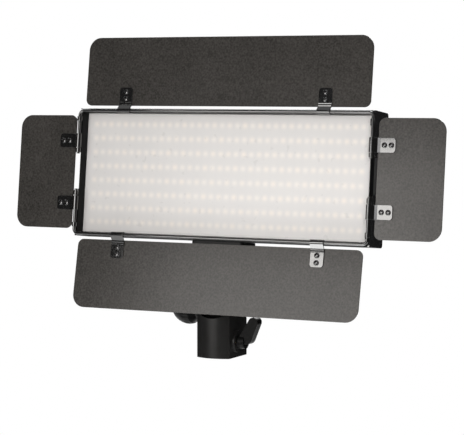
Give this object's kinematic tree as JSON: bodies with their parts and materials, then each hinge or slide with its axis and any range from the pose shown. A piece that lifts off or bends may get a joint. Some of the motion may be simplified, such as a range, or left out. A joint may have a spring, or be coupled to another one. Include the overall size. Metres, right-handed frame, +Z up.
{
  "type": "led panel light",
  "caption": "Slim rectangular LED panel light with four folding barn doors on a tilting adapter for a light stand spigot.",
  "frame": {"origin": "centre of the mouth of the stand socket at the bottom of the adapter", "axes": "+Z up along the stand spigot, the light shines towards -Y, +X to the right seen from the front"},
  "size_m": [0.4337, 0.0826, 0.2909],
  "materials": {
    "black_plastic": "satin black moulded plastic",
    "body_paint": "black powder coat on aluminium",
    "door_paint": "charcoal fine-grain powder coat on sheet aluminium",
    "cap_grey": "grey satin plastic",
    "gloss_black_steel": "glossy black plated spring steel",
    "steel": "plated steel",
    "brass": "machined brass",
    "opal": "opal diffusing acrylic",
    "board_white": "white solder mask",
    "board_green": "green circuit board",
    "led_warm": "warm phosphor",
    "led_cool": "cool phosphor",
    "rubber_black": "matt rubber",
    "window_dark": "smoked glossy window",
    "display_grey": "display glass",
    "contact_gold": "gold-plated contact",
    "latch_red": "red satin plastic",
    "button_grey": "light grey satin plastic"
  },
  "bodies": {
    "stand_adapter": {"stand_socket": "black_plastic", "tilt_bolt": "gloss_black_steel", "friction_washers": "rubber_black", "lock_insert": "brass"},
    "stand_lock": {"stand_lock_lever": "black_plastic", "stand_lock_screw": "steel"},
    "tilt_knob_body": {"tilt_knob": "black_plastic", "tilt_knob_insert": "brass"},
    "head": {"tilt_hub": "black_plastic", "mount_stud": "steel", "mount_foot": "body_paint", "foot_screws": "gloss_black_steel", "front_frame": "body_paint", "back_cover": "body_paint", "left_cap": "cap_grey", "right_cap": "cap_grey", "diffuser": "opal", "led_board": "board_white", "warm_leds": "led_warm", "cool_leds": "led_cool", "board_screws": "steel", "top_left_bracket": "gloss_black_steel", "top_right_bracket": "gloss_black_steel", "bottom_left_bracket": "gloss_black_steel", "bottom_right_bracket": "gloss_black_steel", "bracket_screws": "gloss_black_steel", "top_wire": "gloss_black_steel", "bottom_wire": "gloss_black_steel", "control_box": "black_plastic", "control_board": "board_green", "box_screws": "gloss_black_steel", "display_window": "window_dark", "display_module": "display_grey", "power_jack": "black_plastic", "encoders": "steel", "rocker_case": "black_plastic", "left_battery_plate": "black_plastic", "right_battery_plate": "black_plastic", "battery_contacts": "contact_gold"},
    "lock_wheel_body": {"lock_wheel": "black_plastic", "mount_pad": "rubber_black"},
    "brightness_dial": {"brightness_knob": "black_plastic"},
    "colour_dial": {"colour_knob": "black_plastic"},
    "rocker": {"power_rocker": "latch_red"},
    "button": {"mode_button": "button_grey"},
    "left_latch": {"left_battery_latch": "latch_red"},
    "right_latch": {"right_battery_latch": "latch_red"},
    "top_barn_door": {"top_door": "door_paint", "top_door_clips": "gloss_black_steel", "top_door_screws": "gloss_black_steel"},
    "bottom_barn_door": {"bottom_door": "door_paint", "bottom_door_clips": "gloss_black_steel", "bottom_door_screws": "gloss_black_steel"},
    "left_barn_door": {"left_door": "door_paint", "left_door_clips": "gloss_black_steel", "left_door_screws": "gloss_black_steel"},
    "right_barn_door": {"right_door": "door_paint", "right_door_clips": "gloss_black_steel", "right_door_screws": "gloss_black_steel"}
  },
  "joints": [
    {"name": "head_tilt", "type": "hinge", "parent": "stand_adapter", "child": "head", "pos_m": [0, 0, 0.044], "axis": [-1, 0, 0], "range_deg": [-7, 75]},
    {"name": "stand_lock_turn", "type": "hinge", "parent": "stand_adapter", "child": "stand_lock", "pos_m": [0, 0, 0.0147], "axis": [1, 0, 0], "range_deg": [-180, 180]},
    {"name": "tilt_knob_turn", "type": "hinge", "parent": "stand_adapter", "child": "tilt_knob_body", "pos_m": [0, 0, 0.044], "axis": [-1, 0, 0], "range_deg": [-180, 180]},
    {"name": "lock_wheel_turn", "type": "hinge", "parent": "head", "child": "lock_wheel_body", "pos_m": [0, 0.0047, 0.08523], "axis": [0, 0.1132, 0.9936], "range_deg": [-180, 180]},
    {"name": "top_door_fold", "type": "hinge", "parent": "head", "child": "top_barn_door", "pos_m": [0, 0.00299, 0.22306], "axis": [1, 0, 0], "range_deg": [-24.5, 138]},
    {"name": "bottom_door_fold", "type": "hinge", "parent": "head", "child": "bottom_barn_door", "pos_m": [0, -0.01009, 0.1083], "axis": [-1, 0, 0], "range_deg": [-0.9, 132]},
    {"name": "left_door_fold", "type": "hinge", "parent": "head", "child": "left_barn_door", "pos_m": [-0.149, -0.00355, 0.16568], "axis": [0, 0.1132, 0.9936], "range_deg": [-24, 182]},
    {"name": "right_door_fold", "type": "hinge", "parent": "head", "child": "right_barn_door", "pos_m": [0.149, -0.00355, 0.16568], "axis": [0, -0.1132, -0.9936], "range_deg": [-28, 178]},
    {"name": "brightness_turn", "type": "hinge", "parent": "head", "child": "brightness_dial", "pos_m": [-0.013, 0.04854, 0.15774], "axis": [0, 0.9936, -0.1132], "continuous": true},
    {"name": "colour_turn", "type": "hinge", "parent": "head", "child": "colour_dial", "pos_m": [0.013, 0.04854, 0.15774], "axis": [0, 0.9936, -0.1132], "continuous": true},
    {"name": "power_rock", "type": "hinge", "parent": "head", "child": "rocker", "pos_m": [-0.012, 0.04273, 0.13324], "axis": [-1, 0, 0], "range_deg": [0, 18]},
    {"name": "mode_press", "type": "slide", "parent": "head", "child": "button", "axis": [0, -0.9936, 0.1132], "range_m": [0, 0.0008], "stiffness_N_per_m": 300},
    {"name": "left_latch_slide", "type": "slide", "parent": "head", "child": "left_latch", "axis": [0, 0.1132, 0.9936], "range_m": [0, 0.003], "stiffness_N_per_m": 300},
    {"name": "right_latch_slide", "type": "slide", "parent": "head", "child": "right_latch", "axis": [0, 0.1132, 0.9936], "range_m": [0, 0.003], "stiffness_N_per_m": 300}
  ]
}
